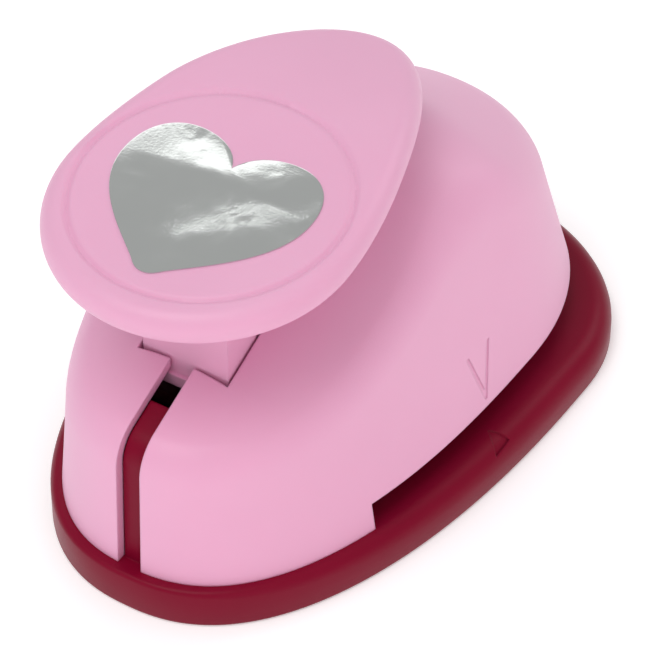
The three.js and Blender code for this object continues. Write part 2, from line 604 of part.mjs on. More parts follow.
function makePivot() {
  const arm = FRAME_ARM;
  const armFront = PIVOT.y - LUG.round - FIT_GAP;
  let frame = box([-arm.outer, arm.outer], [arm.front, arm.rear], [GUIDE_Z[1], FRAME_FOOT_Z]);
  for (const side of [-1, 1]) {
    const [x0, x1] = side > 0 ? [arm.inner, arm.outer] : [-arm.outer, -arm.inner];
    frame = frame.add(sidePlate(x0, x1, [
      [arm.front, FRAME_FOOT_Z - 1],
      [arm.rear, FRAME_FOOT_Z - 1],
      [arm.rear, arm.rearTop],
      [arm.front - arm.slant, arm.top],
      [armFront, arm.top],
      [armFront, PIVOT.z - LUG.round],
      [arm.front, PIVOT.z - 2 * LUG.round],
    ]));
    frame = frame.subtract(
      crossRod(x0 - CUT_PAST, x1 + CUT_PAST, PIVOT.y, PIVOT.z, AXLE_RADIUS + AXLE_GAP));
    frame = frame.subtract(rod(side * FRAME_SCREW.x, FRAME_SCREW.y, GUIDE_Z[1] - CUT_PAST,
      FRAME_FOOT_Z + CUT_PAST, SCREW.shank + FIT_GAP));
  }
  addPiece('pivot_frame', frame, ZINC_CASTING);

  // Headed axle, held by a spring clip in a groove at its other end.
  const alongX = (x0, x1, radius) => crossRod(x0, x1, PIVOT.y, PIVOT.z, radius);
  const headX = arm.outer + AXLE_HEAD.gap;
  const clipX = [-arm.outer - CLIP.gap - CLIP.thick, -arm.outer - CLIP.gap];
  const neckX = [clipX[0] - SPRING.endGap, clipX[1] + SPRING.endGap];
  const clearX = [clipX[0] - CUT_PAST, clipX[1] + CUT_PAST];
  const axle = alongX(clipX[1] - AXLE_END, headX + AXLE_HEAD.thick, AXLE_RADIUS)
    .add(alongX(headX, headX + AXLE_HEAD.thick, AXLE_RADIUS + AXLE_HEAD.wider))
    .subtract(alongX(...neckX, AXLE_RADIUS + CUT_PAST).subtract(alongX(...clearX, CLIP.neck)));
  addPiece('lever_axle', axle, TOOL_STEEL);
  const clip = alongX(...clipX, AXLE_RADIUS + CLIP.wider)
    .subtract(alongX(...clearX, CLIP.neck + CLIP.neckGap))
    .subtract(box(clearX, [PIVOT.y - CLIP.mouthHalf, PIVOT.y + CLIP.mouthHalf],
      [PIVOT.z - 2 * LUG.round, PIVOT.z]));
  addPiece('axle_clip', clip, SPRING_STEEL);
}

// ---------------------------------------------------------------- screws

// A pan-head screw standing on its head, with a cross recess.
function screwUp(x, y, headZ, tipZ) {
  const head = rod(x, y, headZ, headZ + SCREW.headTall, SCREW.head);
  const shank = rod(x, y, headZ + CROSS_RECESS.deep, tipZ, SCREW.shank, 10);
  const slit = (halfX, halfY) => box([x - halfX, x + halfX], [y - halfY, y + halfY],
    [headZ - CUT_PAST, headZ + CROSS_RECESS.deep]);
  return head.add(shank)
    .subtract(slit(CROSS_RECESS.reach, CROSS_RECESS.half))
    .subtract(slit(CROSS_RECESS.half, CROSS_RECESS.reach));
}

function makeScrews() {
  const headZ = SCREW.seatZ - SCREW.headTall - SCREW.seatGap;
  let count = 0;
  for (const side of [-1, 1]) {
    for (const [x, y] of SHELL_SCREWS) {
      count += 1;
      const tipZ = BOSS_TOP_Z - 4 * BLIND_END;
      addPiece(`shell_screw_${count}`, screwUp(side * x, y, headZ, tipZ), ZINC_CASTING);
    }
  }
  count = 0;
  for (const side of [-1, 1]) {
    for (const [y, topZ] of [[DIE_SCREW.frontY, GUIDE_Z[1]], [DIE_SCREW.rearY, DIE_Z[1]]]) {
      count += 1;
      const tipZ = topZ - 2 * BLIND_END;
      addPiece(`die_screw_${count}`, screwUp(side * DIE_SCREW.x, y, headZ, tipZ), ZINC_CASTING);
    }
  }
  count = 0;
  for (const side of [-1, 1]) {
    count += 1;
    const headTop = FRAME_FOOT_Z + SCREW.seatGap + SCREW.headTall;
    const length = headTop - GUIDE_Z[0] - 2 * BLIND_END;
    const screw = screwUp(0, 0, 0, length).rotate([180, 0, 0])
      .translate([side * FRAME_SCREW.x, FRAME_SCREW.y, headTop]);
    addPiece(`frame_screw_${count}`, screw, ZINC_CASTING);
  }
}

makeBase();
makeShell();
makeLever();
makeFoil();
makeDieSet();
makePunch();
makePostsAndSprings();
makePivot();
makeScrews();

export default part;
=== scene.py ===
"""Craft punch: a moulded pink shell and lever on a burgundy base, with a mirror-foil heart."""
from math import atan, cos, exp, hypot, inf, pi, radians, sin, tan

import bmesh
import bpy
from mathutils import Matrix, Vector


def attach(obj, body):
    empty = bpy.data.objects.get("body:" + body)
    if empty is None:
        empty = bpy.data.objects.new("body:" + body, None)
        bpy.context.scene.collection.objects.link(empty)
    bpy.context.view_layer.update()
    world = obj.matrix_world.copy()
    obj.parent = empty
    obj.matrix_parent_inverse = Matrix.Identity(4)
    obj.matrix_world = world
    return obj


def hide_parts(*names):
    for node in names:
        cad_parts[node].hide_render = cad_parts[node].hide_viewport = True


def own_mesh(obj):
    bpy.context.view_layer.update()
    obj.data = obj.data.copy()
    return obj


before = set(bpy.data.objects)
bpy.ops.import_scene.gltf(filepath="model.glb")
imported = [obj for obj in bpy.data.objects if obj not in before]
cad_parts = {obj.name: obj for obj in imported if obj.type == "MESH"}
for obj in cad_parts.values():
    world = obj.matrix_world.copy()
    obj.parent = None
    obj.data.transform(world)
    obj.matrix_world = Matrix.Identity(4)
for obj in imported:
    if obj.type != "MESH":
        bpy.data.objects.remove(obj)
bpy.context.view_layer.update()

MM = 0.001

# ------------------------------------------------------------------ camera

CAMERA_AT = Vector((247.9, -388.9, 439.7)) * MM
CAMERA_LOOKS_AT = Vector((4.757, -5.610, 23.868)) * MM
CAMERA_LENS = 193.5
CAMERA_SENSOR = 36
CAMERA_CLIP = (0.01, 50)   # metres


def make_camera():
    data = bpy.data.cameras.new("camera")
    data.lens = CAMERA_LENS
    data.sensor_width = CAMERA_SENSOR
    data.clip_start, data.clip_end = CAMERA_CLIP
    camera = bpy.data.objects.new("camera", data)
    camera.location = CAMERA_AT
    camera.rotation_euler = (CAMERA_LOOKS_AT - CAMERA_AT).to_track_quat("-Z", "Y").to_euler()
    bpy.context.collection.objects.link(camera)
    bpy.context.scene.camera = camera


make_camera()

# ------------------------------------------------------------------ sizes, in mm

# An egg outline is two half superellipses that meet at its widest place.
BASE_EGG = dict(front=-62.3, rear=62.3, half=40.6, widest=27.6, front_power=2.34, rear_power=2.07)
SHELL_EGG = dict(front=-60.3, rear=59.7, half=35.7, widest=16.5, front_power=2.39, rear_power=2.11)
DECK_Z = 8.0               # top of the base, where the shell stands
DECK_THICK = 2.2
BASE_WALL = 2.8
BLOCK_WALL = 2.6           # wall round the die plate, under the deck
BLOCK_DROP = 0.05          # the block's top stays this far under the deck
INNER_FOOT_Z = 1.0         # blocks and bosses inside the base stop this far above its foot
POCKET_FILLET = 3.0
FOOT_ROUND = 0.8
DECK_EDGE_ROUND = dict(front=0.8, side=4.4, rear=4.4)
SHELL_WALL = 2.0
SHELL_LEAN = dict(front=radians(2.5), side=radians(11.4), rear=radians(19.3))
SHOULDER_ROUND = dict(front=8.0, side=14.3, rear=16.3)
ROOF = dict(front_y=-56.5, front_z=35.6, rise=0.427, rear_y=32.5, rear_z=51.1, fall=0.557, blend=14.0)
ROOF_CROWN = 0.012
SPINE_Y = 7.5              # the roof's rings close on a line through here
SPINE_SHARE = 0.3
SLOPE_PROBE = 1.1          # the roof's slope is read this many shoulder radii in
THROAT_FRONT_Y = -30.2     # the paper throat runs from here round the rear
THROAT_TOP_Z = 13.7
SLOT_HALF = 2.35           # slot down the front of the shell
RIB_HALF = 2.1             # the base's rib that fills it
RIB_TOP_Y = -49.0
RIB_TOP_Z = 60.0
RIB_RECESS = 1.7
RIB_THICK = 3.6
PAD_Y = -34.5
PAD_Z = 71.5
PAD_TILT = radians(6.1)
PAD_RADIUS = 27.3
LEVER_TAIL = 55.0          # from the pad's middle to the lever's rear tip
LEVER_SKIN = 2.6           # thickness of the cap's top
LEVER_RIM = 3.6            # width of the rim round the cap's hollow underside
LEVER_ROUND = 3.3          # the rim's outside is a bullnose of this radius
LEVER_LOWEST_TURN = radians(-75)
LEVER_SPINE_V = 8.0        # the cap's rings close on a line through here
LEVER_SPINE_SHARE = 0.5
LEVER_MID_INSET = 12.0
PAD_RING_REACH = 27.0      # fine rings on the pad's top go this far in
PAD_RING_STEP = 0.25
TAIL_FULL_UNTIL = 19.0     # how the pad's sides run into the tail
TAIL_NARROW = 15.0
TAIL_DROP = 8.0
TAIL_DROP_START = 22.0
TAIL_DROP_POWER = 1.7
GROOVE_RADIUS = 23.7
GROOVE_AT = 1.6            # the ring groove's middle, along the pad towards the tail
GROOVE_WIDTH = 0.5
GROOVE_DEPTH = 0.6
FOIL_THICK = 0.2
FOIL_AT = -3.2
FOIL_EDGE = 0.992          # the film's top edge is drawn in to this share of its outline
GLUE_LINE = 0.02
HEART_HALF = 18.3
HEART_TOP = 16.8
HEART_TIP = -15.2
STEM = dict(half=8.6, front=-41.6, bow=0.5, rear=-33.0, bottom=36.0, catch_out=1.4, catch_tall=2.4)
STEM_GAP = 0.45            # clearance round the stem where it enters the shell
STEM_HOLE_BOTTOM_Z = 34.0
PIVOT_Y = 14.0
PIVOT_Z = 48.0
AXLE_RADIUS = 2.0
AXLE_GAP = 0.08
LUG = dict(inner=3.6, outer=7.2, round=4.5, front=9.0, rear=16.0, front_top=70.8, rear_top=69.0)
LUG_NECK = dict(front=9.0, rear=12.0)   # heights over the pivot where the lugs step in
WINDOW = dict(front=-6.0, side_gap=0.8, rear_gap=2.0)   # the shell's opening for the lugs
PUSHER_HALF = 6.0
PUSHER_ROUND = 3.0
PUSHER_BOTTOM_Z = 38.4
PUSHER_ROOT_Y = -8.0
PLATE = dict(half=26.5, front=-24.0, rear=28.0)
DIE_BOTTOM_Z = 5.2
CHUTE = dict(half=21.0, front=-19.5, rear=19.5)
SHELL_SCREWS = ((17.6, -48.0), (24.2, -37.5))
DIE_SCREWS = ((22.5, -21.0), (22.5, 24.5))
FRAME_SCREW = (4.5, 23.0)
FRAME_SCREW_TOP_Z = 23.85
BOSS_RADIUS = 3.6
BOSS_TOP_Z = 22.0
BOSS_WALL = 0.8            # a base boss is this much stouter than the shell boss on it
BOSS_LAND = 0.4            # the shell's bosses stop this far inside its outer skin
BOSS_BLIND = 3.0           # solid height left over the hole in a shell boss
FIT_GAP = 0.3
CUT_PAST = 1.0             # how far a cutting solid reaches past the face it opens
CUT_FAR = 5.0
MARK_DEPTH = 0.24
MARK_BOTTOM_Z = 3.0
MARK_X = (25, 40)          # the V mark's cutting prism runs between these
MARK_PROUD = 0.5           # a mark's cutting prism reaches this far outside the skin
# Moulded marks that show where the cut's middle is: a V on the shell's side, drawn in Y and Z,
# and a triangle on the base below it, drawn in X and Y.
SHELL_MARK = ((-2.2, 26), (-1.5, 26), (1.4, 17.2), (4.3, 26), (5.0, 26), (1.7, 15.2), (1.1, 15.2))
BASE_MARK = ((34.6, 1.2), (38.4, -2.3), (38.4, 2.3))
SCREW_SHANK = 1.5
SCREW_HEAD = 2.8
SCREW_HEAD_TALL = 1.8
SCREW_SINK = 0.2           # how far the shank reaches into the head
SCREW_SEAT_Z = 3.4
SCREW_SEAT_GAP = 0.05
CROSS_RECESS = dict(long=3.2, wide=0.7, deep=0.9)
SHELL_SCREW_TIP_Z = 18.0
FRONT_DIE_SCREW_TIP_Z = 16.5
REAR_DIE_SCREW_TIP_Z = 7.7
FRAME_SCREW_TIP_Z = 13.8
POST = dict(x=20.5, y=-7.0)
SPRING = dict(coil=3.1, wire=0.5, turns=6, low=19.1, high=33.9)

# ------------------------------------------------------------------ mesh helpers


def piece_from(name, vertices, faces):
    mesh = bpy.data.meshes.new(name)
    mesh.from_pydata([Vector(v) * MM for v in vertices], [], faces)
    mesh.validate()
    piece = bpy.data.objects.new(name, mesh)
    bpy.context.collection.objects.link(piece)
    return piece


def outward(piece):
    """Merges doubles and turns every face outwards."""
    work = bmesh.new()
    work.from_mesh(piece.data)
    bmesh.ops.remove_doubles(work, verts=work.verts, dist=1e-7)
    bmesh.ops.dissolve_degenerate(work, edges=work.edges, dist=1e-8)
    bmesh.ops.recalc_face_normals(work, faces=work.faces)
    work.to_mesh(piece.data)
    work.free()
    return piece


def loft(name, rings, folded_top=False):
    """One closed skin through rings of equal length. The last ring is folded on a line or capped."""
    sides = len(rings[0])
    vertices = [point for ring in rings for point in ring]
    faces = []
    for row in range(len(rings) - 1):
        for side in range(sides):
            a = row * sides + side
            b = row * sides + (side + 1) % sides
            faces.append((a, b, b + sides, a + sides))
    faces.append(tuple(reversed(range(sides))))
    if not folded_top:
        last = (len(rings) - 1) * sides
        faces.append(tuple(range(last, last + sides)))
    return outward(piece_from(name, vertices, faces))


def box_tool(x, y, z):
    corners = [(a, b, c) for a in x for b in y for c in z]
    faces = [(0, 1, 3, 2), (4, 6, 7, 5), (0, 4, 5, 1), (2, 3, 7, 6), (0, 2, 6, 4), (1, 5, 7, 3)]
    return outward(piece_from("tool", corners, faces))


def bar_tool(centre, low, high, radius, axis="Z", sides=48):
    """A round bar along X or Z."""
    rings = []
    for level in (low, high):
        ring = []
        for i in range(sides):
            turn = 2 * pi * i / sides
            a, b = radius * cos(turn), radius * sin(turn)
            ring.append((centre[0] + a, centre[1] + b, level) if axis == "Z"
                        else (level, centre[0] + a, centre[1] + b))
        rings.append(ring)
    return loft("tool", rings)


def prism_tool(low, high, outline, axis="Z"):
    """An outline given a thickness: drawn in X and Y, or in Y and Z and thick along X."""
    rings = [[(a, b, level) if axis == "Z" else (level, a, b) for a, b in outline]
             for level in (low, high)]
    return loft("tool", rings)


def combine(piece, tools, operation):
    """Applies a boolean with each tool to the piece and removes the tools."""
    for tool in tools:
        modifier = piece.modifiers.new("join", "BOOLEAN")
        modifier.operation = operation
        modifier.solver = "EXACT"
        modifier.object = tool
        bake_modifiers(piece)
        bpy.data.meshes.remove(tool.data)
    return piece


def bake_modifiers(piece):
    graph = bpy.context.evaluated_depsgraph_get()
    baked = bpy.data.meshes.new_from_object(piece.evaluated_get(graph))
    piece.modifiers.clear()
    piece.data = baked


def smooth(piece, sharp_angle=30):
    for polygon in piece.data.polygons:
        polygon.use_smooth = True
    piece.data.set_sharp_from_angle(angle=radians(sharp_angle))


# ------------------------------------------------------------------ outlines and surfaces


def egg_point(egg, angle, inset=0.0):
    """Point of an egg outline: angle 0 is its front, a quarter turn is its +X side."""
    c, s = cos(angle), sin(angle)
    power = 2 / (egg["front_power"] if c > 0 else egg["rear_power"])
    reach = (egg["widest"] - egg["front"] if c > 0 else egg["rear"] - egg["widest"]) - inset
    x = (egg["half"] - inset) * (1 if s > 0 else -1) * abs(s) ** power
    y = egg["widest"] - reach * (1 if c > 0 else -1) * abs(c) ** power
    return x, y


def around(value, angle):
    """Blends a front, side and rear value round the egg."""
    c = cos(angle)
    end = value["front"] if c > 0 else value["rear"]
    return value["side"] + (end - value["side"]) * c * c


def turns(count):
    return [2 * pi * i / count for i in range(count)]


def roof_z(x, y):
    rising = ROOF["front_z"] + ROOF["rise"] * (y - ROOF["front_y"])
    falling = ROOF["rear_z"] - ROOF["fall"] * (y - ROOF["rear_y"])
    share = min(max(0.5 + (falling - rising) / (2 * ROOF["blend"]), 0), 1)
    crest = falling * (1 - share) + rising * share - ROOF["blend"] * share * (1 - share)
    return crest - ROOF_CROWN * x * x


def shell_rib(angle, inset, wall_steps, round_steps, roof_steps):
    """Points up the leaning wall, round the shoulder and along the roof to the spine."""
    x0, y0 = egg_point(SHELL_EGG, angle, inset)
    spine_y = SPINE_Y + SPINE_SHARE * (y0 - SPINE_Y)
    reach = hypot(x0, spine_y - y0)

    def at(d):
        return x0 - x0 * d / reach, y0 + (spine_y - y0) * d / reach

    def roof_at(d):
        return roof_z(*at(d)) - inset

    lean = around(SHELL_LEAN, angle)
    bend = around(SHOULDER_ROUND, angle) - inset
    probe = bend * SLOPE_PROBE
    slope = roof_at(probe + 0.5) - roof_at(probe - 0.5)
    roof_start = roof_at(probe) - slope * probe
    depth = bend * hypot(1, slope)
    middle_d = (((roof_start - depth - DECK_Z) * tan(lean) + bend / cos(lean))
                / (1 - slope * tan(lean)))
    middle_z = roof_start + slope * middle_d - depth
    profile = []
    wall_d = middle_d - bend * cos(lean)
    wall_z = middle_z + bend * sin(lean)
    for i in range(wall_steps):
        share = i / wall_steps
        profile.append((wall_d * share, DECK_Z + (wall_z - DECK_Z) * share))
    last_turn = pi / 2 - atan(slope)
    for i in range(round_steps + 1):
        turn = lean + (last_turn - lean) * i / round_steps
        profile.append((middle_d - bend * cos(turn), middle_z + bend * sin(turn)))
    roof_d = profile[-1][0]
    for i in range(1, roof_steps + 1):
        d = roof_d + (reach - roof_d) * i / roof_steps
        profile.append((d, roof_at(d)))
    return [(*at(d), z) for d, z in profile]


def shell_solid(inset, sides, wall_steps, round_steps, roof_steps, bottom_z):
    ribs = [shell_rib(angle, inset, wall_steps, round_steps, roof_steps) for angle in turns(sides)]
    rings = [list(row) for row in zip(*ribs)]
    rings[0] = [(x, y, bottom_z) for x, y, _ in rings[0]]
    return loft("skin", rings, folded_top=True)


def bezier(points, share):
    """Point of a cubic curve from its four control points."""
    a, b, c, d = (Vector(point) for point in points)
    rest = 1 - share
    return a * rest ** 3 + b * 3 * rest * rest * share + c * 3 * rest * share * share + d * share ** 3


def heart_outline(steps):
    half, top, tip = HEART_HALF, HEART_TOP, HEART_TIP
    curves = (
        ((0, tip), (half * 0.08, tip), (half * 0.12, tip * 0.95), (half * 0.18, tip * 0.88)),
        ((half * 0.18, tip * 0.88), (half * 0.5, tip * 0.56), (half, tip * 0.16), (half, top * 0.4)),
        ((half, top * 0.4), (half, top * 0.8), (half * 0.78, top), (half * 0.52, top)),
        ((half * 0.52, top), (half * 0.26, top), (half * 0.06, top * 0.86), (0, top * 0.66)),
    )
    side = [bezier(curve, i / steps) for curve in curves for i in range(steps)]
    side.append(Vector((0, top * 0.66)))
    return [(p.x, p.y) for p in side] + [(-p.x, p.y) for p in reversed(side[1:-1])]


# ------------------------------------------------------------------ base


def base_solid(name, sides, inset=0.0):
    """The base's outside, from its foot to its deck, everything inset by a distance."""
    rings = []
    for step, z in ((FOOT_ROUND, 0), (FOOT_ROUND * 0.3, FOOT_ROUND * 0.3), (0, FOOT_ROUND)):
        rings.append([(*egg_point(BASE_EGG, angle, inset + step), z) for angle in turns(sides)])
    edge_steps = 8
    for i in range(edge_steps + 1):
        turn = pi / 2 * i / edge_steps
        ring = []
        for angle in turns(sides):
            bend = around(DECK_EDGE_ROUND, angle)
            point = egg_point(BASE_EGG, angle, inset + bend * (1 - cos(turn)))
            ring.append((*point, DECK_Z - inset - bend * (1 - sin(turn))))
        rings.append(ring)
    return loft(name, rings)


def engraved(mark, body, core):
    """The part of a mark's prism that lies in the skin between a body and its core."""
    combine(mark, [body], "INTERSECT")
    return combine(mark, [core], "DIFFERENCE")


def make_base():
    base = base_solid("base_moulding", 240)

    pocket_rings = []
    for inset, z in ((0, -CUT_PAST), (0, POCKET_FILLET), (POCKET_FILLET, DECK_Z - DECK_THICK)):
        pocket_rings.append([(*egg_point(BASE_EGG, angle, BASE_WALL + inset), z) for angle in turns(120)])
    combine(base, [loft("tool", pocket_rings)], "DIFFERENCE")

    plate_x = PLATE["half"] + FIT_GAP
    plate_y = (PLATE["front"] - FIT_GAP, PLATE["rear"] + FIT_GAP)
    block = box_tool((-plate_x - BLOCK_WALL, plate_x + BLOCK_WALL),
                     (plate_y[0] - BLOCK_WALL, plate_y[1] + BLOCK_WALL),
                     (INNER_FOOT_Z, DECK_Z - BLOCK_DROP))
    bosses = [bar_tool((side * x, y), INNER_FOOT_Z, DECK_Z - CUT_PAST / 2, BOSS_RADIUS + BOSS_WALL)
              for side in (-1, 1) for x, y in SHELL_SCREWS]
    outer = shell_solid(RIB_RECESS, 160, 4, 12, 6, DECK_Z - CUT_PAST)
    inner = shell_solid(RIB_RECESS + RIB_THICK, 160, 4, 12, 6, DECK_Z - 2 * CUT_PAST)
    band = box_tool((-RIB_HALF, RIB_HALF), (SHELL_EGG["front"], RIB_TOP_Y),
                    (DECK_Z - CUT_PAST, RIB_TOP_Z))
    combine(outer, [inner], "DIFFERENCE")
    combine(outer, [band], "INTERSECT")
    combine(base, [block, *bosses, outer], "UNION")

    cuts = [
        box_tool((-plate_x, plate_x), plate_y, (DIE_BOTTOM_Z, DECK_Z + CUT_PAST)),
        box_tool((-CHUTE["half"], CHUTE["half"]), (CHUTE["front"], CHUTE["rear"]),
                 (-CUT_PAST, DECK_Z + CUT_PAST)),
    ]
    for side in (-1, 1):
        for x, y in SHELL_SCREWS + DIE_SCREWS:
            cuts.append(bar_tool((side * x, y), -CUT_PAST, SCREW_SEAT_Z, SCREW_HEAD + FIT_GAP))
            cuts.append(bar_tool((side * x, y), 0, DECK_Z + CUT_PAST, SCREW_SHANK + FIT_GAP))
    for side in (-1, 1):
        corners = [(side * x, y) for x, y in BASE_MARK]
        mark = prism_tool(MARK_BOTTOM_Z, DECK_Z + CUT_PAST, corners)
        cuts.append(engraved(mark, base_solid("tool", 120, -MARK_PROUD),
                             base_solid("tool", 240, MARK_DEPTH)))
    combine(base, cuts, "DIFFERENCE")
    smooth(base)
    return base


# ------------------------------------------------------------------ shell


def make_shell():
    shell = shell_solid(0, 240, 10, 22, 26, DECK_Z)
    shell.name = "shell_moulding"
    combine(shell, [shell_solid(SHELL_WALL, 120, 5, 12, 10, DECK_Z - CUT_PAST)], "DIFFERENCE")
    for side in (-1, 1):
        for x, y in SHELL_SCREWS:
            boss = bar_tool((side * x, y), DECK_Z, BOSS_TOP_Z, BOSS_RADIUS)
            combine(boss, [shell_solid(BOSS_LAND, 120, 5, 12, 10, DECK_Z)], "INTERSECT")
            combine(shell, [boss], "UNION")
    wide = SHELL_EGG["half"] + CUT_FAR
    hole_half = STEM["half"] + STEM_GAP
    hole_y = (STEM["front"] - STEM["bow"] - STEM_GAP, STEM["rear"] + 2 * STEM_GAP)
    window_half = LUG["outer"] + WINDOW["side_gap"]
    cuts = [
        box_tool((-wide, wide), (THROAT_FRONT_Y, SHELL_EGG["rear"] + CUT_FAR),
                 (DECK_Z - CUT_PAST, THROAT_TOP_Z)),
        box_tool((-SLOT_HALF, SLOT_HALF), (SHELL_EGG["front"] - CUT_FAR, STEM["front"]),
                 (DECK_Z - CUT_PAST, PAD_Z)),
        box_tool((-hole_half, hole_half), hole_y, (STEM_HOLE_BOTTOM_Z, PAD_Z)),
        box_tool((-window_half, window_half), (WINDOW["front"], LUG["rear"] + WINDOW["rear_gap"]),
                 (PIVOT_Z, PAD_Z)),
    ]
    for side in (-1, 1):
        for x, y in SHELL_SCREWS:
            cuts.append(bar_tool((side * x, y), DECK_Z - CUT_PAST, BOSS_TOP_Z - BOSS_BLIND,
                                 SCREW_SHANK + FIT_GAP))
        mark = prism_tool(*sorted(side * x for x in MARK_X), SHELL_MARK, axis="X")
        cuts.append(engraved(mark, shell_solid(-MARK_PROUD, 120, 5, 12, 6, DECK_Z),
                             shell_solid(MARK_DEPTH, 240, 10, 22, 6, DECK_Z)))
    combine(shell, cuts, "DIFFERENCE")
    smooth(shell)
    return shell


# ------------------------------------------------------------------ lever


def lever_outline(pad_steps, tail_steps):
    tail = ((PAD_RADIUS, 0), (PAD_RADIUS, TAIL_FULL_UNTIL), (TAIL_NARROW, LEVER_TAIL), (0, LEVER_TAIL))
    side = []
    for i in range(pad_steps):
        turn = pi / 2 * i / pad_steps
        side.append((PAD_RADIUS * sin(turn), -PAD_RADIUS * cos(turn)))
    for i in range(tail_steps + 1):
        point = bezier(tail, i / tail_steps)
        side.append((point.x, point.y))
    return side + [(-x, v) for x, v in reversed(side[1:-1])]


def lever_point(x, v, w):
    """A point given across, along and above the pad, bent down towards the tail."""
    past = max(0, v - TAIL_DROP_START) / (LEVER_TAIL - TAIL_DROP_START)
    height = w - TAIL_DROP * past ** TAIL_DROP_POWER
    y = PAD_Y + v * cos(PAD_TILT) - height * sin(PAD_TILT)
    z = PAD_Z + v * sin(PAD_TILT) + height * cos(PAD_TILT)
    return x, y, z


def groove_dip(x, v):
    """Depth of the ring groove at a place on the pad: a smooth bell across its width."""
    off = (hypot(x, v - GROOVE_AT) - GROOVE_RADIUS) / GROOVE_WIDTH
    return GROOVE_DEPTH * exp(-off * off)


def lever_solid(name, rows, steps, grooved):
    """The lever's cap from rows of (inset, height), closed on a line along its middle."""
    outline = lever_outline(*steps)
    rings = []
    for inset, height in rows:
        ring = []
        for x, v in outline:
            spine = LEVER_SPINE_V + LEVER_SPINE_SHARE * (v - LEVER_SPINE_V)
            reach = hypot(x, spine - v)
            d = min(inset, reach)
            px, pv = x - x * d / reach, v + (spine - v) * d / reach
            dip = groove_dip(px, pv) if grooved and height == 0 else 0
            ring.append(lever_point(px, pv, height - dip))
        rings.append(ring)
    return loft(name, rings, folded_top=True)


def make_lever():
    rows = []
    round_steps = 22
    for i in range(round_steps + 1):
        turn = LEVER_LOWEST_TURN + (pi / 2 - LEVER_LOWEST_TURN) * i / round_steps
        rows.append((LEVER_ROUND * (1 - cos(turn)), -LEVER_ROUND * (1 - sin(turn))))
    inset = LEVER_ROUND
    while inset < PAD_RING_REACH:
        inset += PAD_RING_STEP
        rows.append((inset, 0))
    rows.append((inf, 0))
    lever = lever_solid("lever_moulding", rows, (84, 70), grooved=True)
    cavity = [(LEVER_RIM, -3 * LEVER_ROUND), (LEVER_RIM, -LEVER_SKIN - 1),
              (LEVER_RIM + 1, -LEVER_SKIN), (LEVER_MID_INSET, -LEVER_SKIN), (inf, -LEVER_SKIN)]
    combine(lever, [lever_solid("tool", cavity, (30, 30), grooved=False)], "DIFFERENCE")

    def under(y):
        """A height just inside the cap's top, so that what hangs below it joins it."""
        return PAD_Z + (y - PAD_Y) * tan(PAD_TILT) - LEVER_SKIN + CUT_PAST

    half, front, rear = STEM["half"], STEM["front"], STEM["rear"]
    bow_steps = 12
    shares = [i / bow_steps for i in range(-bow_steps, bow_steps + 1)]
    face = [(half * share, front - STEM["bow"] * (1 - share * share)) for share in shares]
    stem = prism_tool(STEM["bottom"], under(front), face + [(half, rear), (-half, rear)])
    catch = box_tool((-half, half), (front - STEM["catch_out"], front + CUT_PAST),
                     (STEM["bottom"], STEM["bottom"] + STEM["catch_tall"]))
    pusher_z = PUSHER_BOTTOM_Z + PUSHER_ROUND
    pusher = box_tool((-PUSHER_HALF, PUSHER_HALF), (-PUSHER_ROUND, PUSHER_ROUND),
                      (pusher_z, under(PUSHER_ROOT_Y) - CUT_PAST))
    toe = bar_tool((0, pusher_z), -PUSHER_HALF, PUSHER_HALF, PUSHER_ROUND, axis="X")
    joins = [stem, catch, pusher, toe]
    bores = []
    for side in (-1, 1):
        x = sorted((side * LUG["inner"], side * LUG["outer"]))
        joins.append(prism_tool(*x, [
            (PIVOT_Y - LUG["round"], PIVOT_Z),
            (PIVOT_Y + LUG["round"], PIVOT_Z),
            (LUG["rear"], PIVOT_Z + LUG_NECK["rear"]),
            (LUG["rear"], LUG["rear_top"]),
            (LUG["front"], LUG["front_top"]),
            (LUG["front"], PIVOT_Z + LUG_NECK["front"]),
        ], axis="X"))
        joins.append(bar_tool((PIVOT_Y, PIVOT_Z), *x, LUG["round"], axis="X"))
        bores.append(bar_tool((PIVOT_Y, PIVOT_Z), x[0] - CUT_PAST, x[1] + CUT_PAST,
                              AXLE_RADIUS + AXLE_GAP, axis="X"))
    combine(lever, joins, "UNION")
    combine(lever, bores, "DIFFERENCE")
    smooth(lever, 40)
    return lever


def make_foil():
    outline = heart_outline(24)
    rings = []
    for shrink, height in ((1, GLUE_LINE), (1, FOIL_THICK), (FOIL_EDGE, FOIL_THICK + GLUE_LINE)):
        rings.append([lever_point(x * shrink, y * shrink + FOIL_AT, height) for x, y in outline])
    foil = loft("heart_label", rings)
    smooth(foil, 50)
    return foil


# ------------------------------------------------------------------ geometry-nodes trees


class Tree:
    """A node tree being built, with one way to add a node and link it."""

    def __init__(self, tree):
        self.tree = tree

    def add(self, kind, settings=None, **inputs):
        node = self.tree.nodes.new(kind)
        for name, value in (settings or {}).items():
            setattr(node, name, value)
        for name, value in inputs.items():
            socket = node.inputs[name.replace("_", " ")]
            if isinstance(value, bpy.types.NodeSocket):
                self.tree.links.new(value, socket)
            else:
                socket.default_value = value
        return node


def geometry_tree(name, sizes):
    tree = bpy.data.node_groups.new(name, "GeometryNodeTree")
    tree.interface.new_socket("Geometry", in_out="OUTPUT", socket_type="NodeSocketGeometry")
    for label, value in sizes.items():
        socket = tree.interface.new_socket(label, in_out="INPUT", socket_type="NodeSocketFloat")
        socket.default_value = value
    return tree


def grown(name, tree, material):
    """The tree's result as a plain mesh, with the modifier gone."""
    piece = bpy.data.objects.new(name, bpy.data.meshes.new(name))
    bpy.context.collection.objects.link(piece)
    modifier = piece.modifiers.new("grow", "NODES")
    modifier.node_group = tree
    for socket in tree.interface.items_tree:
        if socket.in_out == "INPUT":
            modifier[socket.identifier] = socket.default_value
    bake_modifiers(piece)
    if not piece.data.materials:
        piece.data.materials.append(material)
    outward(piece)
    smooth(piece, 40)
    return piece


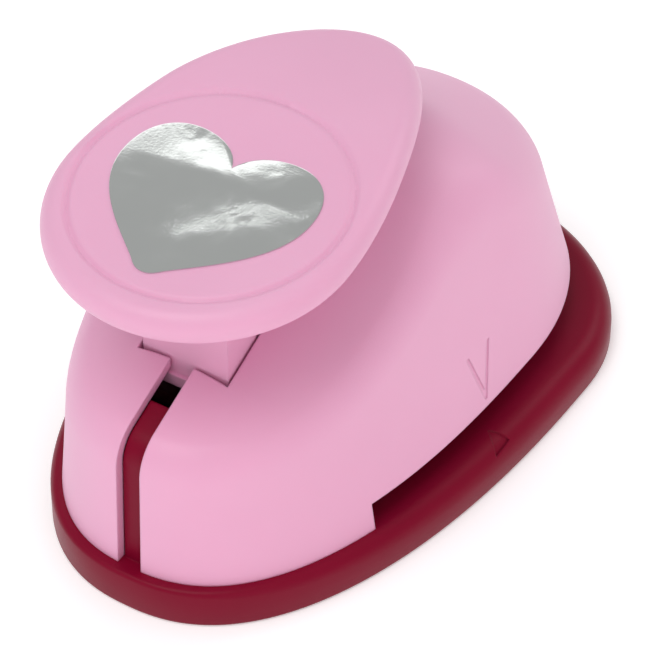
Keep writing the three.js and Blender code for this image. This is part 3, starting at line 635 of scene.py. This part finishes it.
def make_springs(material):
    """Two compression springs: a wire swept along a spiral round each guide post."""
    tree = geometry_tree("return_spring", {
        "Wire radius": SPRING["wire"] * MM,
        "Coil radius": SPRING["coil"] * MM,
        "Height": (SPRING["high"] - SPRING["low"] - 2 * SPRING["wire"]) * MM,
    })
    t = Tree(tree)
    sizes = t.add("NodeGroupInput")
    spiral = t.add("GeometryNodeCurveSpiral", Resolution=32, Rotations=float(SPRING["turns"]),
                   Start_Radius=sizes.outputs["Coil radius"], End_Radius=sizes.outputs["Coil radius"],
                   Height=sizes.outputs["Height"])
    wire = t.add("GeometryNodeCurvePrimitiveCircle", Resolution=12, Radius=sizes.outputs["Wire radius"])
    swept = t.add("GeometryNodeCurveToMesh", Curve=spiral.outputs[0], Fill_Caps=True)
    tree.links.new(wire.outputs[0], swept.inputs["Profile Curve"])
    posts = t.add("GeometryNodeMeshLine", {"mode": "END_POINTS"}, Count=2)
    level = (SPRING["low"] + SPRING["wire"]) * MM
    posts.inputs["Start Location"].default_value = (-POST["x"] * MM, POST["y"] * MM, level)
    posts.inputs["Offset"].default_value = (POST["x"] * MM, POST["y"] * MM, level)
    placed = t.add("GeometryNodeInstanceOnPoints", Points=posts.outputs[0], Instance=swept.outputs[0])
    real = t.add("GeometryNodeRealizeInstances", Geometry=placed.outputs[0])
    painted = t.add("GeometryNodeSetMaterial", Geometry=real.outputs[0], Material=material)
    t.add("NodeGroupOutput", Geometry=painted.outputs[0])
    return grown("return_springs", tree, material)


def make_screws(name, places, head_z, tip_z, material, head_up):
    """Pan-head screws: a round head with a cross recess, and a plain shank."""
    sign = -1 if head_up else 1
    joint = SCREW_HEAD_TALL - SCREW_SINK
    tree = geometry_tree(name, {"Head radius": SCREW_HEAD * MM, "Shank radius": SCREW_SHANK * MM})
    t = Tree(tree)
    sizes = t.add("NodeGroupInput")
    head = t.add("GeometryNodeMeshCylinder", Vertices=40, Depth=SCREW_HEAD_TALL * MM,
                 Radius=sizes.outputs["Head radius"])
    head_placed = t.add("GeometryNodeTransform", Geometry=head.outputs[0])
    head_placed.inputs["Translation"].default_value = (0, 0, sign * SCREW_HEAD_TALL / 2 * MM)
    length = abs(tip_z - head_z) - joint
    shank = t.add("GeometryNodeMeshCylinder", Vertices=32, Depth=length * MM,
                  Radius=sizes.outputs["Shank radius"])
    shank_placed = t.add("GeometryNodeTransform", Geometry=shank.outputs[0])
    shank_placed.inputs["Translation"].default_value = (0, 0, sign * (joint + length / 2) * MM)
    recess = []
    for x, y in ((CROSS_RECESS["long"], CROSS_RECESS["wide"]), (CROSS_RECESS["wide"], CROSS_RECESS["long"])):
        size = (x, y, 2 * CROSS_RECESS["deep"])
        recess.append(t.add("GeometryNodeMeshCube", Size=Vector(size) * MM))
    cross = t.add("GeometryNodeMeshBoolean", {"operation": "UNION", "solver": "EXACT"})
    body = t.add("GeometryNodeMeshBoolean", {"operation": "UNION", "solver": "EXACT"})
    for source in recess:
        tree.links.new(source.outputs[0], cross.inputs["Mesh 2"])
    for source in (head_placed, shank_placed):
        tree.links.new(source.outputs[0], body.inputs["Mesh 2"])
    cut = t.add("GeometryNodeMeshBoolean", {"operation": "DIFFERENCE", "solver": "EXACT"},
                Mesh_1=body.outputs[0])
    tree.links.new(cross.outputs[0], cut.inputs["Mesh 2"])
    points = [t.add("GeometryNodePoints", Count=1, Position=(x * MM, y * MM, head_z * MM))
              for x, y in places]
    joined = t.add("GeometryNodeJoinGeometry")
    for point in points:
        tree.links.new(point.outputs[0], joined.inputs[0])
    placed = t.add("GeometryNodeInstanceOnPoints", Points=joined.outputs[0], Instance=cut.outputs[0])
    real = t.add("GeometryNodeRealizeInstances", Geometry=placed.outputs[0])
    painted = t.add("GeometryNodeSetMaterial", Geometry=real.outputs[0], Material=material)
    t.add("NodeGroupOutput", Geometry=painted.outputs[0])
    return grown(name, tree, material)


# ------------------------------------------------------------------ materials


def srgb(code):
    """A hex colour turned to linear light."""
    channels = [int(code[i:i + 2], 16) / 255 for i in (1, 3, 5)]
    linear = [c / 12.92 if c <= 0.04045 else ((c + 0.055) / 1.055) ** 2.4 for c in channels]
    return (*linear, 1)


# The mix node's sockets for colours have to be picked by number.
COLOUR_A, COLOUR_B, COLOUR_OUT = 6, 7, 2


def start_material(name):
    material = bpy.data.materials.new(name)
    material.use_nodes = True
    material.node_tree.nodes.clear()
    return material, Tree(material.node_tree)


def moulded_plastic(name, colour, shade, roughness, grain_mm, grain_bump, soft_light, specular):
    """Injection-moulded ABS: a fine spark-eroded texture that breaks up highlights into a soft
    sheen, slight flow variation in colour, and edges a little rounded by the mould."""
    material, t = start_material(name)
    place = t.add("ShaderNodeTexCoord").outputs["Object"]
    grain = t.add("ShaderNodeTexNoise", Vector=place, Scale=1 / (grain_mm * MM), Detail=2.0,
                  Roughness=0.6)
    flow = t.add("ShaderNodeTexNoise", Vector=place, Scale=1 / (22 * MM), Detail=2.0, Roughness=0.5)
    tint = t.add("ShaderNodeMix", {"data_type": "RGBA"}, Factor=flow.outputs["Fac"])
    tint.inputs[COLOUR_A].default_value = srgb(colour)
    tint.inputs[COLOUR_B].default_value = srgb(shade)
    gloss = t.add("ShaderNodeMapRange", Value=grain.outputs["Fac"], To_Min=roughness - 0.05,
                  To_Max=roughness + 0.07)
    edge = t.add("ShaderNodeBevel", {"samples": 6}, Radius=0.45 * MM)
    bump = t.add("ShaderNodeBump", Height=grain.outputs["Fac"], Strength=grain_bump,
                 Distance=0.05 * MM, Normal=edge.outputs["Normal"])
    surface = t.add("ShaderNodeBsdfPrincipled", Roughness=gloss.outputs["Result"],
                    Normal=bump.outputs["Normal"], IOR=1.54)
    t.tree.links.new(tint.outputs[COLOUR_OUT], surface.inputs["Base Color"])
    surface.inputs["Specular IOR Level"].default_value = specular
    surface.inputs["Subsurface Weight"].default_value = soft_light
    surface.inputs["Subsurface Radius"].default_value = (1.0, 0.6, 0.7)
    surface.inputs["Subsurface Scale"].default_value = 1.2 * MM
    t.add("ShaderNodeOutputMaterial", Surface=surface.outputs[0])
    return material


def mirror_foil():
    """Metallised polyester label: bright, almost a mirror, with faint waves where the film
    follows the glue under it."""
    material, t = start_material("metallised_film")
    place = t.add("ShaderNodeTexCoord").outputs["Object"]
    waves = t.add("ShaderNodeTexNoise", Vector=place, Scale=1 / (9 * MM), Detail=1.5, Distortion=0.6)
    slow = t.add("ShaderNodeBump", Height=waves.outputs["Fac"], Strength=0.35, Distance=0.35 * MM)
    grit = t.add("ShaderNodeTexNoise", Vector=place, Scale=1 / (0.5 * MM), Detail=2.0)
    bump = t.add("ShaderNodeBump", Height=grit.outputs["Fac"], Strength=0.3, Distance=0.02 * MM,
                 Normal=slow.outputs["Normal"])
    smear = t.add("ShaderNodeTexNoise", Vector=place, Scale=1 / (3 * MM), Detail=3.0)
    gloss = t.add("ShaderNodeMapRange", Value=smear.outputs["Fac"], To_Min=0.07, To_Max=0.13)
    surface = t.add("ShaderNodeBsdfPrincipled", Base_Color=srgb("#d2d5d3"), Metallic=1.0,
                    Roughness=gloss.outputs["Result"], Normal=bump.outputs["Normal"])
    t.add("ShaderNodeOutputMaterial", Surface=surface.outputs[0])
    return material


def worked_metal(name, colour, dark, roughness, lines_mm, stretch, bump_strength):
    """Metal with its working marks: fine grinding lines on steel, or a cast skin on zinc."""
    material, t = start_material(name)
    place = t.add("ShaderNodeTexCoord").outputs["Object"]
    turned = t.add("ShaderNodeMapping", Vector=place, Scale=stretch)
    marks = t.add("ShaderNodeTexNoise", Vector=turned.outputs[0], Scale=1 / (lines_mm * MM), Detail=4.0)
    tint = t.add("ShaderNodeMix", {"data_type": "RGBA"}, Factor=marks.outputs["Fac"])
    tint.inputs[COLOUR_A].default_value = srgb(dark)
    tint.inputs[COLOUR_B].default_value = srgb(colour)
    gloss = t.add("ShaderNodeMapRange", Value=marks.outputs["Fac"], To_Min=roughness - 0.08,
                  To_Max=roughness + 0.1)
    bump = t.add("ShaderNodeBump", Height=marks.outputs["Fac"], Strength=bump_strength,
                 Distance=0.03 * MM)
    surface = t.add("ShaderNodeBsdfPrincipled", Metallic=1.0, Roughness=gloss.outputs["Result"],
                    Normal=bump.outputs["Normal"])
    t.tree.links.new(tint.outputs[COLOUR_OUT], surface.inputs["Base Color"])
    t.add("ShaderNodeOutputMaterial", Surface=surface.outputs[0])
    return material


pink_abs = moulded_plastic("pink_abs_spark_textured", "#ebb1cf", "#e6aac9", 0.42, 0.35, 0.25, 0.12, 0.4)
burgundy_abs = moulded_plastic("burgundy_abs_moulded", "#80062a", "#780425", 0.36, 0.4, 0.2, 0.03, 0.1)
label_film = mirror_foil()
ground_steel = worked_metal("ground_tool_steel", "#b4b7b9", "#96999c", 0.3, 0.6, (1, 12, 1), 0.3)
cast_zinc = worked_metal("as_cast_zinc", "#a0a4a6", "#85898c", 0.45, 0.8, (1, 1, 1), 0.5)
bright_wire = worked_metal("drawn_spring_wire", "#c6c9cb", "#aeb1b4", 0.22, 0.5, (1, 1, 6), 0.2)


def finish_piece(piece, body, slot, material, *nodes):
    """Gives a piece its one material, and says which body it rides on and what it replaces."""
    piece.data.materials.clear()
    piece.data.materials.append(material)
    for polygon in piece.data.polygons:
        polygon.material_index = 0
    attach(piece, body)
    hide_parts(*nodes)


finish_piece(make_base(), "root", "burgundy_plastic", burgundy_abs, "base")
finish_piece(make_shell(), "root", "pink_plastic", pink_abs, "shell")
finish_piece(make_lever(), "lever", "pink_plastic", pink_abs, "lever")
finish_piece(make_foil(), "lever", "mirror_foil", label_film, "foil_heart")

springs = make_springs(bright_wire)
finish_piece(springs, "root", "spring_steel", bright_wire, "return_spring_left", "return_spring_right")
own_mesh(springs)



def mirrored(places):
    return [(side * x, y) for side in (-1, 1) for x, y in places]


front_die_screw, rear_die_screw = DIE_SCREWS
screw_head_z = SCREW_SEAT_Z - SCREW_HEAD_TALL - SCREW_SEAT_GAP
for label, places, head_z, tip_z, nodes in (
    ("shell_screws", mirrored(SHELL_SCREWS), screw_head_z, SHELL_SCREW_TIP_Z,
     [f"shell_screw_{i}" for i in (1, 2, 3, 4)]),
    ("front_die_screws", mirrored([front_die_screw]), screw_head_z, FRONT_DIE_SCREW_TIP_Z,
     ["die_screw_1", "die_screw_3"]),
    ("rear_die_screws", mirrored([rear_die_screw]), screw_head_z, REAR_DIE_SCREW_TIP_Z,
     ["die_screw_2", "die_screw_4"]),
    ("frame_screws", mirrored([FRAME_SCREW]), FRAME_SCREW_TOP_Z, FRAME_SCREW_TIP_Z,
     ["frame_screw_1", "frame_screw_2"]),
):
    screws = make_screws(label, places, head_z, tip_z, cast_zinc, head_up=head_z > tip_z)
    finish_piece(screws, "root", "zinc_casting", cast_zinc, *nodes)

# The rest show their own CAD meshes.
for node, material in {
    "die_plate": ground_steel, "throat_spacer": ground_steel, "punch": ground_steel,
    "guide_post_left": ground_steel, "guide_post_right": ground_steel, "lever_axle": ground_steel,
    "guide_block": cast_zinc, "punch_carrier": cast_zinc, "pivot_frame": cast_zinc,
    "axle_clip": bright_wire,
}.items():
    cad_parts[node].material_slots[0].material = material

# ------------------------------------------------------------------ floor, light


def make_stage():
    floor = piece_from("floor", [(-4000, -4000, 0), (4000, -4000, 0), (4000, 4000, 0), (-4000, 4000, 0)],
                       [(0, 1, 2, 3)])
    material, t = start_material("white_paper_sweep")
    surface = t.add("ShaderNodeBsdfPrincipled", Base_Color=srgb("#fafafa"), Roughness=0.9,
                    Emission_Color=srgb("#ffffff"), Emission_Strength=0.26)
    t.add("ShaderNodeOutputMaterial", Surface=surface.outputs[0])
    floor.data.materials.append(material)


LIGHTS_AIM = Vector((0, 0, 30)) * MM


def make_light(name, at, size, watts, colour="#ffffff"):
    data = bpy.data.lights.new(name, "AREA")
    data.shape = "RECTANGLE"
    data.size, data.size_y = size
    data.energy = watts
    data.color = srgb(colour)[:3]
    light = bpy.data.objects.new(name, data)
    light.location = at
    light.rotation_euler = (LIGHTS_AIM - Vector(at)).to_track_quat("-Z", "Y").to_euler()
    bpy.context.collection.objects.link(light)


def make_world(strength):
    world = bpy.data.worlds.new("studio")
    world.use_nodes = True
    background = world.node_tree.nodes["Background"]
    background.inputs["Color"].default_value = srgb("#ffffff")
    background.inputs["Strength"].default_value = strength
    bpy.context.scene.world = world


make_stage()
make_world(0.52)
# Places in metres and power in watts. The last two are seen only as reflections in the foil.
make_light("key_front", (-0.1, -0.6, 1.25), (0.8, 0.8), 7.5)
make_light("fill_right", (0.9, -0.6, 0.75), (0.8, 0.8), 0.5)
make_light("low_pink", (0.95, -0.7, 0.3), (0.6, 0.6), 1.5, "#ff9ec6")
make_light("rear_right", (0.4, 1.0, 0.8), (0.5, 0.5), 2)
make_light("label_streak", (-0.385, 0.395, 0.875), (0.2, 0.012), 0.016)
make_light("label_sheen", (-0.56, 0.57, 0.70), (0.6, 0.16), 0.36)
bpy.context.scene.view_settings.view_transform = "Standard"
